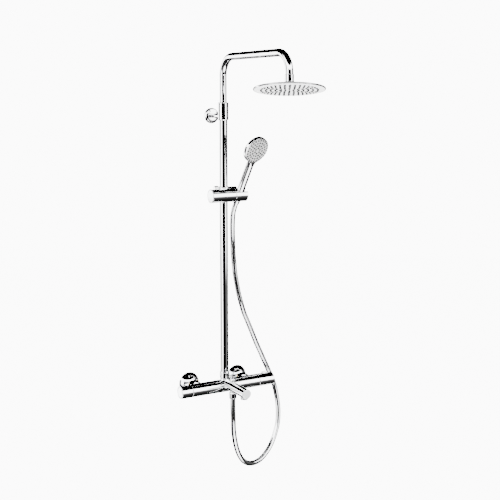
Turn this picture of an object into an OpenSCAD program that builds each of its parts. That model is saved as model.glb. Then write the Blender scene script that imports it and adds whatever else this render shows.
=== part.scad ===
/* [Mixer] */
// Centre distance of the two wall inlets
inlet_centres = 150; // [140:1:160]
// Distance of the mixer and column axis from the wall
bar_out = 72; // [68:1:80]
// Radius of the mixer bar and its two handles
bar_r = 17.5; // [17:0.5:19]
// Half length of the fixed mixer body
body_half = 103; // [98:1:103]
// Outer end of the temperature handle, on the left
temperature_end = 136; // [134:1:142]
// Outer end of the flow handle, on the right
flow_end = 150; // [146:1:152]
// Radius of the bath spout
spout_r = 13; // [12:0.5:14]
// Reach of the spout in front of the bar axis
spout_reach = 127; // [120:1:150]
// Height of the spout axis above the bar axis
spout_lift = 9; // [7:0.5:9]
// Distance of the diverter and the hose outlet in front of the bar axis
diverter_out = 48; // [44:1:56]
/* [Column] */
// Radius of the lower column tube
riser_r = 11; // [11:0.5:11.5]
// Radius of the upper telescopic tube
arm_r = 9.5; // [9:0.5:9.5]
// Height of the overhead arm above the bar axis
arm_height = 896; // [860:5:1000]
// Reach of the overhead arm in front of the column
arm_reach = 338; // [300:1:380]
// Bend radius of the overhead arm
arm_bend = 50; // [45:1:60]
// Lower end of the telescopic sleeve
sleeve_z = 730; // [720:5:735]
// Height of the wall bracket
bracket_z = 741; // [738:1:742]
/* [Overhead shower] */
// Radius of the overhead shower
head_r = 86; // [80:1:100]
// Tilt of the overhead shower at rest, in degrees
head_tilt = 9.5; // [0:0.5:12]
// Direction that the tilted spray face looks towards, in degrees from the front
head_turn = 29; // [0:1:45]
// Number of nozzle rings in the overhead shower
head_rings = 6; // [4:1:6]
/* [Slider and handset] */
// Height of the slider on the column
slider_z = 530; // [500:1:540]
// Radius of the slider and its swivel holder
slider_r = 17.5; // [17:0.5:18]
// Distance of the slider axis in front of the column
slider_out = 22; // [22:0.5:24]
// Forward lean of the handset at rest, in degrees
handset_lean = 27; // [24:1:30]
// Sideways splay of the handset at rest, in degrees
handset_splay = 7; // [5:1:9]
// Turn of the handset about its handle, in degrees
handset_spin = 13; // [0:1:20]
// Radius of the handset's head
handset_r = 37; // [36:1:40]
// Distance from the slider axis to the middle of the handset's head
handset_length = 141; // [138:1:150]
// Radius of the shower hose
hose_r = 7; // [6.5:0.5:7]

/* [Hidden] */
$fn = 64;
clear = 0.05;
eps = 0.5;

// Inlets
inlet_x = inlet_centres / 2;
union_r = 10.48;
union_bore_r = 7;
union_end = 40;
union_lip_r = 12.6;
washer_t = 1.5;
boss_r = 12.9;
boss_end = union_end + washer_t;
nut_ring = 30;
nut_end = 52;
flange_r = 30;
flange_depth = 25;
flange_wall = 1.5;

// Mixer bar
chamber_r = 14.5;
thermostat_from = 40;
headwork_from = 52;
cartridge_end = 100;
spindle_r = 4;
handle_gap = 1;
handle_start = body_half + handle_gap;
handle_bore_r = 15;
hub_r = 7;
web_t = 2;
cap_t = 2.5;
cap_gap = 2.5;
button_len = 16;
button_w = 6;
button_top = bar_r + 4.5;
button_flange_z = 13;
button_flange_t = 1.2;
temperature_button_x = 119;
flow_button_x = 126;

// Spout
spout_bore_r = 10;
spigot_r = 8;
spigot_end = 27;
aerator_out = spout_reach - 15;
aerator_boss_r = 9.5;
aerator_boss_z = -5;
diverter_boss_r = 6.8;
diverter_boss_z = 23.5;
stem_r = 2.4;
valve_r = 4.4;
valve_z = 0.3;
valve_t = 2.2;
knob_r = 7.5;
knob_top = 40;
outlet_r = 8;
outlet_z = -11;
hose_nut_top = -6.5;
hose_nut_bottom = -24;

// Column
riser_bore_r = 10.02;
riser_start = 34;
riser_end = 765;
sleeve_r = 14;
sleeve_h = 47;
guide_z = 452;
guide_h = 28;
arm_start = 448;
arm_bore_r = 8;
drop_z = 836;
nut_top = 844;
nut_bottom = 831;
plate_t = 5;

// Overhead shower, measured from the middle of its ball
ball_z = 819;
ball_r = 7.5;
seat_r = 10;
neck_r = 4.6;
cap_top = 6.5;
back_top = -6;
face_level = -12;
ring_pitch = 11.2;
nozzle_r = 1.5;

// Slider and handset, along the handle from the slider axis
slider_left = -51;
slider_right = 19;
disc_r = slider_r + 1;
lock_z = 17;
rib_z = 12;
holder_end = 55;
cone_x = 35;
bush_r = 13.2;
bush_bore_r = riser_r + 0.06;
journal_r = 8.5;
journal_x = 7;
cone_start = -26;
cone_end = 14;
cone_r = 8.6;
cone_taper = 0.05;
mouth_from = 12;
mouth_r = 11.6;
handle_r = 10;
face_r = handset_r - 2.6;
handset_rings = 4;
handset_pitch = 7.8;
handset_nozzle_r = 1.1;

// Route of the hose, from the nut under the spout to the cone nut
hose_route = [
    [0, -120, -24], [0, -120, -52], [1, -120, -83], [3, -118, -112], [8, -115, -142],
    [17, -110, -172], [28, -106, -196], [42, -101, -215], [59, -97, -227], [77, -92, -232],
    [93, -88, -232], [110, -84, -227], [127, -79, -217], [143, -74, -203], [157, -69, -185],
    [168, -65, -164], [177, -61, -141], [182, -56, -115], [183, -52, -90], [181, -48, -64],
    [176, -45, -36], [167, -44, -9], [155, -43, 18], [143, -43, 43], [130, -43, 71],
    [116, -43, 101], [103, -44, 131], [90, -44, 161], [77, -44, 191], [67, -45, 221],
    [59, -45, 250], [53, -45, 279], [48, -45, 308], [45, -45, 337], [42, -46, 366],
    [40, -48, 394], [37, -52, 422], [34, -58, 449], [31.5, -66, 475], [31, -76.6, 496],
    [32.2, -82, 506.6]];
hose_sides = 12;
hose_slider_at = 32;
hose_holder_at = 36;

// A rod or a tube along X or Y, and a ring about Z
module rod_x(x0, x1, r) {
    translate([x0, 0, 0]) rotate([0, 90, 0]) cylinder(r=r, h=x1 - x0);
}
module rod_y(y0, y1, r) {
    translate([0, y0, 0]) rotate([-90, 0, 0]) cylinder(r=r, h=y1 - y0);
}
module rod_z(z0, z1, r) {
    translate([0, 0, z0]) cylinder(r=r, h=z1 - z0);
}
module ring_z(z0, z1, r, bore) {
    difference() {
        rod_z(z0, z1, r);
        rod_z(z0 - eps, z1 + eps, bore);
    }
}
module at_bar() {
    translate([0, -bar_out, 0]) children();
}
module on_side(side) {
    mirror([side < 0 ? 1 : 0, 0, 0]) children();
}

// A round bar swept through a list of points
function direction(p, i) =
    let (d = p[min(i + 1, len(p) - 1)] - p[max(i - 1, 0)]) d / norm(d);
function across(t, ref) = let (c = cross(t, ref)) c / norm(c);
function sweep_ring(p, i, ref, r, sides) =
    let (t = direction(p, i), u = across(t, ref), v = cross(u, t))
    [for (k = [0:sides - 1]) p[i] + r * (cos(360 * k / sides) * u + sin(360 * k / sides) * v)];
module sweep(p, first, last, ref, r, sides) {
    rings = last - first;
    points = [for (i = [first:last]) each sweep_ring(p, i, ref, r, sides)];
    start_face = [for (k = [0:sides - 1]) k];
    end_face = [for (k = [0:sides - 1]) rings * sides + sides - 1 - k];
    sides_a = [for (i = [0:rings - 1], k = [0:sides - 1])
        [i * sides + k, (i + 1) * sides + k, (i + 1) * sides + (k + 1) % sides]];
    sides_b = [for (i = [0:rings - 1], k = [0:sides - 1])
        [i * sides + k, (i + 1) * sides + (k + 1) % sides, i * sides + (k + 1) % sides]];
    polyhedron(points=points, faces=concat([start_face], sides_a, sides_b, [end_face]));
}
module coil(z0, z1, r, wire, turns) {
    steps = turns * 12;
    p = [for (i = [0:steps])
        [r * cos(30 * i), r * sin(30 * i), z0 + wire + (z1 - z0 - 2 * wire) * i / steps]];
    sweep(p, 0, steps, [0, 0, 1], wire, 6);
}

// Mixer body: a chrome-plated brass bar with two inlets, a riser thread and a spout spigot
module mixer_body() {
    color("silver") at_bar() difference() {
        union() {
            rod_x(-body_half, body_half, bar_r);
            for (x = [-inlet_x, inlet_x]) translate([x, 0, 0]) rod_y(0, bar_out - boss_end, boss_r);
            rod_z(0, 22.5, 12);
            rod_z(0, 32, 9.6);
            translate([0, 0, spout_lift]) rod_y(-spigot_end, 0, spigot_r);
        }
        rod_x(-body_half - eps, -thermostat_from, chamber_r);
        rod_x(headwork_from, body_half + eps, chamber_r);
        rod_x(-thermostat_from - eps, headwork_from + eps, 8);
        for (x = [-inlet_x, inlet_x]) translate([x, 0, 0]) rod_y(8, bar_out, 8);
        rod_z(0, 33, 6.5);
        translate([0, 0, spout_lift]) rod_y(-spigot_end - eps, 0, 5.5);
    }
}
// Wall union: a half-inch connector that screws into the inlet in the wall
module wall_union(x) {
    color("goldenrod") translate([x, 0, 0]) difference() {
        union() {
            rod_y(-union_end, 16, union_r);
            rod_y(-union_end, -union_end + 4, union_lip_r);
        }
        rod_y(-union_end - eps, 17, union_bore_r);
    }
}
module wall_union_left() { wall_union(-inlet_x); }
module wall_union_right() { wall_union(inlet_x); }
module union_nuts() {
    color("silver") for (x = [-inlet_x, inlet_x]) translate([x, 0, 0]) difference() {
        translate([0, -nut_end, 0]) rotate([-90, 0, 0]) cylinder(r=17, h=nut_end - nut_ring, $fn=6);
        rod_y(-nut_end - eps, -union_end + 4.1, boss_r + 0.1);
        rod_y(-nut_end, -nut_ring + eps, union_r + 0.1);
    }
}
module fibre_washers() {
    color("dimgray") {
        for (x = [-inlet_x, inlet_x]) translate([x, 0, 0]) difference() {
            rod_y(-boss_end, -union_end, 12);
            rod_y(-boss_end - eps, -union_end + eps, 7);
        }
        at_bar() ring_z(32, riser_start, 10.9, 6.5);
    }
}
// Wall flange: a pressed dome that hides the hole in the tiles
module wall_flange(x) {
    dome_r = (flange_r * flange_r + flange_depth * flange_depth) / (2 * flange_depth);
    color("silver") translate([x, 0, 0]) rotate([90, 0, 0]) difference() {
        intersection() {
            translate([0, 0, flange_depth - dome_r]) sphere(r=dome_r);
            rod_z(0, flange_depth + eps, flange_r + 10);
        }
        intersection() {
            translate([0, 0, flange_depth - dome_r]) sphere(r=dome_r - flange_wall);
            rod_z(-eps, flange_depth, flange_r + 10);
        }
        rod_z(-eps, flange_depth + eps, union_r + 0.3);
    }
}
module wall_flange_left() { wall_flange(-inlet_x); }
module wall_flange_right() { wall_flange(inlet_x); }
module check_valves() {
    color("white") for (x = [-inlet_x, inlet_x]) translate([x, 0, 0]) difference() {
        rod_y(-57, -boss_end - 1, 7.9);
        rod_y(-55, -boss_end, 5);
    }
}

// Cartridges: the thermostat on the left and the ceramic headwork on the right
module thermostat_cartridge() {
    color("burlywood") at_bar() on_side(-1) difference() {
        rod_x(thermostat_from + 1, cartridge_end, chamber_r - clear);
        rod_x(cartridge_end - 30, cartridge_end + eps, spindle_r + clear);
    }
}
module flow_headwork() {
    color("goldenrod") at_bar() difference() {
        rod_x(headwork_from + 1, cartridge_end, chamber_r - clear);
        rod_x(cartridge_end - 30, cartridge_end + eps, spindle_r + clear);
    }
}
module spindle(handle_end) {
    web_x = handle_end - cap_t - cap_gap - web_t;
    difference() {
        rod_x(cartridge_end - 28, web_x, spindle_r);
        rod_x(web_x - 16, web_x + eps, 2);
    }
}
module temperature_spindle() { color("khaki") at_bar() on_side(-1) spindle(temperature_end); }
module flow_spindle() { color("khaki") at_bar() spindle(flow_end); }

// Handles: turned cups with a web and a hub, and a slot on top for the stop button
module handle(handle_end, button_x) {
    web_x = handle_end - cap_t - cap_gap - web_t;
    difference() {
        union() {
            difference() {
                rod_x(handle_start, handle_end, bar_r);
                rod_x(handle_start - eps, handle_end + eps, handle_bore_r);
            }
            rod_x(web_x, web_x + web_t, handle_bore_r + eps);
            rod_x(handle_start + 2, web_x + eps, hub_r);
        }
        rod_x(handle_start, web_x, spindle_r + clear / 2);
        rod_x(web_x - eps, web_x + web_t + eps, 2.1);
        translate([button_x, 0, 17]) cube([button_len + 0.2, button_w + 0.2, 8], center=true);
    }
}
module temperature_handle() {
    color("silver") at_bar() on_side(-1) handle(temperature_end, temperature_button_x);
}
module flow_handle() { color("silver") at_bar() handle(flow_end, flow_button_x); }
module handle_cap(handle_end) {
    difference() {
        rod_x(handle_end - cap_t, handle_end, handle_bore_r - clear);
        rod_x(handle_end - cap_t - eps, handle_end - cap_t + 1, handle_bore_r - 2);
    }
}
module temperature_cap() { color("silver") at_bar() on_side(-1) handle_cap(temperature_end); }
module flow_cap() { color("silver") at_bar() handle_cap(flow_end); }
module handle_screw(handle_end) {
    seat = handle_end - cap_t - cap_gap;
    difference() {
        union() {
            rod_x(seat, seat + 2.2, 3.5);
            rod_x(seat - web_t - 14, seat + eps, 1.95);
        }
        translate([seat + 1, 0, 0]) rotate([0, 90, 0]) cylinder(r=1.4, h=3, $fn=6);
    }
}
module temperature_screw() { color("gray") at_bar() on_side(-1) handle_screw(temperature_end); }
module flow_screw() { color("gray") at_bar() handle_screw(flow_end); }

// Stop buttons: sprung tabs that are pressed to turn past the safe mark
module stop_button(x) {
    stem_h = button_top - button_flange_z;
    translate([x - button_len / 2, -button_w / 2, button_flange_z])
        cube([button_len, button_w, stem_h]);
    translate([x - button_len / 2 - 0.8, -button_w / 2 - 0.8, button_flange_z])
        cube([button_len + 1.6, button_w + 1.6, button_flange_t]);
}
module safety_button() { color("silver") at_bar() on_side(-1) stop_button(temperature_button_x); }
module eco_button() { color("silver") at_bar() stop_button(flow_button_x); }
module stop_spring(x) {
    translate([x, 0, 0]) coil(hub_r + 0.1, button_flange_z - 0.1, 2.2, 0.35, 4);
}
module safety_spring() { color("gray") at_bar() on_side(-1) stop_spring(temperature_button_x); }
module eco_spring() { color("gray") at_bar() stop_spring(flow_button_x); }

// Bath spout: a round tube coped to the bar, with the diverter on top and the hose outlet below
module spout_body() {
    color("silver") at_bar() difference() {
        union() {
            translate([0, 0, spout_lift]) rod_y(-spout_reach, 0, spout_r);
            translate([0, -aerator_out, 0]) rod_z(aerator_boss_z, spout_lift, aerator_boss_r);
            translate([0, -diverter_out, 0]) rod_z(spout_lift, diverter_boss_z, diverter_boss_r);
            translate([0, -diverter_out, 0]) rod_z(outlet_z, spout_lift, outlet_r);
        }
        rod_x(-30, 30, bar_r + clear);
        rod_z(-1, 40, 13.4);
        translate([0, 0, spout_lift]) {
            rod_y(-spigot_end - eps, 0, spigot_r + clear);
            rod_y(-spout_reach + 3, -spigot_end, spout_bore_r);
        }
        translate([0, -aerator_out, 0]) rod_z(aerator_boss_z - eps, spout_lift, 8.05);
        translate([0, -diverter_out, 0]) {
            rod_z(spout_lift, diverter_boss_z + eps, stem_r + clear);
            rod_z(outlet_z - eps, spout_lift, 3.2);
        }
    }
}
module aerator_housing() {
    color("silver") translate([0, -bar_out - aerator_out, 0]) difference() {
        union() {
            rod_z(aerator_boss_z, 1, 8);
            rod_z(aerator_boss_z - 3, aerator_boss_z, aerator_boss_r);
        }
        rod_z(aerator_boss_z - 4, 2, 7);
    }
}
module aerator_insert() {
    color("lightgray") translate([0, -bar_out - aerator_out, 0]) difference() {
        rod_z(aerator_boss_z - 2, 1, 6.95);
        for (ring = [1:3], k = [0:6 * ring - 1]) rotate([0, 0, 60 * k / ring])
            translate([1.9 * ring, 0, 0]) rod_z(aerator_boss_z - 3, 2, 0.55);
    }
}
module diverter_knob() {
    color("silver") translate([0, -bar_out - diverter_out, 0]) difference() {
        rod_z(diverter_boss_z + 0.3, knob_top, knob_r);
        rod_z(diverter_boss_z, 34, stem_r + clear / 2);
    }
}
module diverter_valve() {
    color("khaki") translate([0, -bar_out - diverter_out, 0]) {
        rod_z(valve_z, valve_z + valve_t, valve_r);
        rod_z(valve_z, 34, stem_r);
    }
}
module diverter_spring() {
    color("gray") translate([0, -bar_out - diverter_out, 0])
        coil(valve_z + valve_t + 0.1, 18, 3.3, 0.4, 6);
}
module hose_nut() {
    color("silver") translate([0, -bar_out - diverter_out, 0]) difference() {
        rod_z(hose_nut_bottom, hose_nut_top, 10.3);
        rod_z(outlet_z - 0.1, hose_nut_top + eps, outlet_r + clear);
        rod_z(hose_nut_bottom - eps, outlet_z, 4.5);
    }
}

// Column: nut, lower tube, sleeve with its lock screw
module riser_nut() {
    color("silver") at_bar() difference() {
        rod_z(23, 41, 13.2);
        rod_z(22, riser_start, 9.7 + clear);
        rod_z(31, riser_start, 11 + clear);
        rod_z(31, 42, riser_r + clear);
    }
}
module riser_tube() { color("silver") at_bar() ring_z(riser_start, riser_end, riser_r, riser_bore_r); }
module sleeve_collar() {
    color("silver") at_bar() difference() {
        rod_z(sleeve_z, sleeve_z + sleeve_h, sleeve_r);
        rod_z(sleeve_z - eps, riser_end + 0.5, riser_r + clear);
        rod_z(sleeve_z, sleeve_z + sleeve_h + eps, arm_r + clear);
        translate([0, 0, sleeve_z + 41]) rod_y(0, sleeve_r + 1, 2.5);
        translate([0, 0, bracket_z]) rod_y(riser_r + 0.5, sleeve_r + 1, 4);
    }
}
module grub_screw() {
    color("gray") at_bar() translate([0, 0, sleeve_z + 41]) difference() {
        rod_y(arm_r + clear, sleeve_r - 0.3, 2.45);
        translate([0, sleeve_r - 2, 0]) rotate([-90, 0, 0]) cylinder(r=1.25, h=3, $fn=6);
    }
}

// Wall bracket: an arm from the sleeve to a plate on the wall, under a round cover
module bracket_arm() {
    color("silver") at_bar() translate([0, 0, bracket_z]) {
        difference() {
            union() {
                rod_y(0, bar_out - plate_t - 1, 5.5);
                rod_y(0, bar_out - 26, 6.6);
            }
            rod_z(-40, 40, sleeve_r + clear);
            rod_y(bar_out - 26, bar_out, 3.95);
        }
        rod_y(riser_r + 0.6, sleeve_r + 0.1, 3.95);
    }
}
module bracket_rosette() {
    color("silver") translate([0, 0, bracket_z]) difference() {
        union() {
            rod_y(-10, 0, 18);
            rod_y(-8, 0, 21);
        }
        rod_y(-8, eps, 17);
        rod_y(-11, 0, 5.5 + clear);
    }
}
module wall_plate() {
    color("gray") translate([0, 0, bracket_z]) {
        difference() {
            rod_y(-plate_t, 0, 16);
            for (z = [-10, 10]) translate([0, 0, z]) rod_y(-plate_t - eps, eps, 2.25);
        }
        rod_y(-24, -plate_t, 3.9);
    }
}
module wall_screws() {
    color("gray") for (z = [-10, 10]) translate([0, 0, bracket_z + z]) difference() {
        union() {
            rod_y(-plate_t - 2.2, -plate_t, 4);
            rod_y(-plate_t - 0.1, 0, 1.6);
            rod_y(0, 30, 2.2);
        }
        translate([0, -plate_t - 3, 0]) rotate([-90, 0, 0]) cylinder(r=1.6, h=2, $fn=6);
    }
}

// Telescope: a guide that slides in the lower tube, and the bent arm that turns in it
module telescope_guide() {
    color("ivory") at_bar() difference() {
        ring_z(guide_z, guide_z + guide_h, riser_bore_r - clear, arm_r + clear);
        for (z = [6, guide_h - 8]) ring_z(guide_z + z, guide_z + z + 2, 12, 9.8);
    }
}
module overhead_arm() {
    bend_z = arm_height - arm_bend;
    color("silver") at_bar() {
        ring_z(arm_start, bend_z, arm_r, arm_bore_r);
        translate([0, -arm_bend, bend_z]) rotate([0, 90, 0]) rotate([0, 0, 90])
            rotate_extrude(angle=90) translate([arm_bend, 0]) arm_section();
        translate([0, 0, arm_height]) difference() {
            rod_y(arm_bend - arm_reach, -arm_bend, arm_r);
            rod_y(-arm_reach, 0, arm_bore_r);
        }
        translate([0, arm_bend - arm_reach, bend_z]) rotate([0, 90, 0]) rotate([0, 0, 180])
            rotate_extrude(angle=90) translate([arm_bend, 0]) arm_section();
        translate([0, -arm_reach, 0]) ring_z(drop_z, bend_z, arm_r, arm_bore_r);
    }
}
module arm_section() {
    difference() {
        circle(r=arm_r);
        circle(r=arm_bore_r);
    }
}

// Overhead shower: everything that tilts is placed about the middle of the ball
module at_ball() {
    translate([0, -bar_out - arm_reach, ball_z]) children();
}
module tilted() {
    at_ball() rotate(a=head_tilt, v=[-cos(head_turn), sin(head_turn), 0]) children();
}
module ball_nut() {
    color("silver") difference() {
        union() {
            translate([0, -bar_out - arm_reach, 0]) ring_z(nut_bottom, nut_top, 10.8, 3);
            at_ball() rod_z(0, nut_bottom - ball_z + 1, neck_r);
            at_ball() sphere(r=ball_r);
        }
        at_ball() rod_z(-10, 20, 3);
        translate([0, -bar_out - arm_reach, 0]) rod_z(drop_z - 0.2, nut_top + eps, arm_r + clear);
    }
}
module ball_seat() {
    color("dimgray") tilted() difference() {
        intersection() {
            sphere(r=seat_r);
            rod_z(-6, 2.5, 12);
        }
        sphere(r=ball_r + clear);
        rod_z(-10, 0, 4);
    }
}
module head_socket() {
    color("silver") tilted() difference() {
        rod_z(-1, cap_top, 16.5);
        sphere(r=seat_r + clear);
        translate([0, 0, 2.5]) cylinder(r1=7.6, r2=9.4, h=cap_top - 2);
    }
}
module head_back() {
    color("silver") tilted() difference() {
        union() {
            rod_z(-9, -1, 16.5);
            rod_z(-8, back_top, head_r);
            ring_z(face_level, -8, head_r, head_r - 2.2);
            ring_z(face_level + 1.5, -8, 18, 16);
        }
        sphere(r=seat_r + clear);
        rod_z(-13, 0, 4);
    }
}
function ring_angle(n, k) = 60 * k / n;
module nozzle_rings(rings, pitch, z0, z1, r) {
    for (n = [1:rings], k = [0:6 * n - 1])
        rotate([0, 0, ring_angle(n, k)]) translate([n * pitch, 0, 0]) rod_z(z0, z1, r);
}
module spray_plate() {
    color("lightgray") tilted() difference() {
        rod_z(face_level, face_level + 1.4, head_r - 2.3);
        nozzle_rings(head_rings, ring_pitch, face_level - 1, face_level + 2, nozzle_r + clear);
    }
}
module nozzle_mat() {
    color("dimgray") tilted() {
        difference() {
            rod_z(face_level + 1.4, face_level + 2, head_r - 8);
            rod_z(face_level, face_level + 4, 18.5);
        }
        nozzle_rings(head_rings, ring_pitch, face_level - 1.2, face_level + 1.8, nozzle_r);
    }
}

// Slider: a cross bar clamped on the column, with a bush, an end cap and a lock knob
module at_slider() {
    translate([0, -bar_out - slider_out, slider_z]) children();
}
module slider_body() {
    color("silver") difference() {
        union() {
            at_bar() rod_z(slider_z - 15, slider_z + 22, 15);
            at_slider() rod_x(slider_left + 2, slider_right, slider_r);
            at_bar() translate([0, 4, slider_z + rib_z]) rod_x(0, 40, 9);
        }
        at_bar() rod_z(slider_z - 30, slider_z + 30, bush_r + clear);
        at_slider() rod_x(slider_left, -16, 13.5);
        at_slider() rod_x(-17, 1, 4.3);
        at_slider() rod_x(0, 12, 2.1);
        at_slider() rod_x(journal_x - 0.2, 25, journal_r + clear);
        at_slider() rod_x(slider_right, 60, slider_r + 0.5);
        at_bar() translate([0, 0, slider_z + lock_z]) rod_x(-20, 0, 2.55);
    }
}
module slider_bush() {
    color("ivory") at_bar() difference() {
        ring_z(slider_z - 14, slider_z + 21, bush_r, bush_bore_r);
        translate([-bush_r, 0, slider_z]) cube([4, 1.2, 60], center=true);
    }
}
module slider_cap() {
    color("silver") at_slider() {
        rod_x(slider_left, slider_left + 2, disc_r);
        rod_x(slider_left + 2, slider_left + 7, 13.4);
    }
}
module lock_knob() {
    color("silver") at_bar() translate([0, 0, slider_z + lock_z]) {
        rod_x(-29, -18, 8);
        rod_x(-18.5, -bush_r - 0.3, 2.5);
    }
}
module friction_washer() {
    color("black") at_slider() difference() {
        rod_x(slider_right, slider_right + 0.6, 15.5);
        rod_x(slider_right - eps, slider_right + 1, journal_r + 0.1);
    }
}

// Swivel holder: a cone seat for the handset, open to the outer end for the hose
module along_handset() {
    translate([cone_x, -bar_out - slider_out, slider_z])
        rotate([handset_lean, handset_splay, 0]) children();
}
function cone_radius(s) = cone_r + (s - cone_start) * cone_taper;
module swivel_holder() {
    color("silver") difference() {
        at_slider() union() {
            rod_x(slider_right + 0.7, holder_end, slider_r);
            rod_x(journal_x, slider_right + 1, journal_r);
        }
        along_handset() translate([0, 0, -30])
            cylinder(r1=cone_radius(-30) + clear, r2=cone_radius(30) + clear, h=60);
        along_handset() rod_z(mouth_from, 30, mouth_r);
        along_handset() translate([0, -hose_r - 0.9, -30]) cube([30, 2 * hose_r + 1.8, 60]);
        at_slider() rod_x(journal_x - eps, 18, 1.8);
    }
}
module swivel_screw() {
    color("gray") at_slider() {
        rod_x(-2.2, 0.6, 3.8);
        rod_x(0, 17, 1.75);
    }
}
module cone_nut() {
    color("silver") along_handset() difference() {
        translate([0, 0, cone_start])
            cylinder(r1=cone_radius(cone_start), r2=cone_radius(cone_end), h=cone_end - cone_start);
        rod_z(cone_start - eps, cone_end, 4.5);
        rod_z(-2, cone_end + eps, 6.1);
    }
}

// Handset: a hollow handle and round head, built along the handle with its face to the front
module handset_frame() {
    along_handset() rotate([0, 0, handset_spin]) children();
}
module at_face() {
    handset_frame() translate([0, 0, handset_length]) children();
}
module handset_shell() {
    color("silver") difference() {
        union() {
            handset_frame() rod_z(cone_end + 0.3, handset_length - 20, handle_r);
            handset_frame() rod_z(0.6, cone_end + 1, 6.04);
            at_face() rod_y(-8, 4, handset_r);
            at_face() rod_y(0, 9, handset_r - 7);
        }
        handset_frame() rod_z(0, handset_length - 20, 4.95);
        at_face() rod_y(-handle_r - 1, -4, face_r + clear);
        at_face() rod_y(-5, 2, face_r - 2);
    }
}
module handset_rings_y(y0, y1, r) {
    for (n = [1:handset_rings], k = [0:6 * n - 1]) rotate([0, ring_angle(n, k), 0])
        translate([n * handset_pitch, 0, 0]) rod_y(y0, y1, r);
}
module handset_face() {
    color("lightgray") at_face() difference() {
        rod_y(-9, -6, face_r);
        handset_rings_y(-10, -5, handset_nozzle_r + clear);
    }
}
module handset_nozzles() {
    color("dimgray") at_face() {
        rod_y(-6, -5, face_r - 1);
        handset_rings_y(-9.8, -5.5, handset_nozzle_r);
    }
}
module flow_regulator() { color("darkslateblue") handset_frame() ring_z(1, 5, 4.9, 1.8); }

// Hose: one route in three lengths, which belong to the mixer, the slider and the holder
module hose_part(first, last) {
    sweep(hose_route, first, last, [0, 1, 0], hose_r, hose_sides);
}
module hose_lower() { color("silver") hose_part(0, hose_slider_at); }
module hose_middle() { color("silver") hose_part(hose_slider_at, hose_holder_at); }
module hose_top() { color("silver") hose_part(hose_holder_at, len(hose_route) - 1); }

mixer_body();
wall_union_left();
wall_union_right();
union_nuts();
fibre_washers();
wall_flange_left();
wall_flange_right();
check_valves();
thermostat_cartridge();
temperature_spindle();
temperature_handle();
temperature_cap();
temperature_screw();
safety_button();
safety_spring();
flow_headwork();
flow_spindle();
flow_handle();
flow_cap();
flow_screw();
eco_button();
eco_spring();
spout_body();
aerator_housing();
aerator_insert();
diverter_knob();
diverter_valve();
diverter_spring();
hose_nut();
riser_nut();
riser_tube();
sleeve_collar();
grub_screw();
bracket_arm();
bracket_rosette();
wall_plate();
wall_screws();
telescope_guide();
overhead_arm();
ball_nut();
ball_seat();
head_socket();
head_back();
spray_plate();
nozzle_mat();
slider_body();
slider_bush();
slider_cap();
lock_knob();
friction_washer();
swivel_holder();
swivel_screw();
cone_nut();
handset_shell();
handset_face();
handset_nozzles();
flow_regulator();
hose_lower();
hose_middle();
hose_top();
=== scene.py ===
import math
import bmesh
import bpy
from mathutils import Matrix, Vector


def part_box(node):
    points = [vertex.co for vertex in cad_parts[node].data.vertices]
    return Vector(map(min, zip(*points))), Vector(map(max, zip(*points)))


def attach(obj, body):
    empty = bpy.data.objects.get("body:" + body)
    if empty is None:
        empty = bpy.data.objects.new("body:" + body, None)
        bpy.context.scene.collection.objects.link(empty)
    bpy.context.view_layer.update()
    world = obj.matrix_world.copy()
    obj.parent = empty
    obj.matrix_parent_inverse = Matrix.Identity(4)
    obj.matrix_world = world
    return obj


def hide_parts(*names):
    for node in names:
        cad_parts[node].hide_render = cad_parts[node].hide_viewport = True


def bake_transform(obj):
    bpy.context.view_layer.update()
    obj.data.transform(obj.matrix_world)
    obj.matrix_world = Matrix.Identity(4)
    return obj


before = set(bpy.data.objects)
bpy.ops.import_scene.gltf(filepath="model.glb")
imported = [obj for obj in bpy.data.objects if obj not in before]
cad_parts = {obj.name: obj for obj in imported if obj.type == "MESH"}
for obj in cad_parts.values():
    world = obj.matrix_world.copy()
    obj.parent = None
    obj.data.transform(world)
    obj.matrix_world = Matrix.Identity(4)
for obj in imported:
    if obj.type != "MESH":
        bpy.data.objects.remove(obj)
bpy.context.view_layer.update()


# Camera: just below the overhead shower and 29 degrees to the left of the column, looking down
# 7.3 degrees, so that the handset and the overhead shower both stand clear of the column tube.
eye = bpy.data.objects.new("camera", bpy.data.cameras.new("camera"))
bpy.context.scene.collection.objects.link(eye)
eye.data.lens = 68.32
eye.data.sensor_width = 36
eye.data.shift_y = -0.06
eye.data.clip_end = 60
eye_aside = 0.506875
eye_down = 0.127348
eye_roll = -0.00166
eye_spot = (-1.17439, -2.33319, 0.7872)
eye_forward = Vector((
    math.sin(eye_aside) * math.cos(eye_down),
    math.cos(eye_aside) * math.cos(eye_down),
    -math.sin(eye_down)))
eye_right = Vector((math.cos(eye_aside), -math.sin(eye_aside), 0))
eye_up = eye_right.cross(eye_forward)
eye_turn = (Matrix((eye_right, eye_up, -eye_forward)).transposed()
    @ Matrix.Rotation(eye_roll, 3, "Z"))
eye.matrix_world = Matrix.Translation(eye_spot) @ eye_turn.to_4x4()
bpy.context.scene.camera = eye


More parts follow.
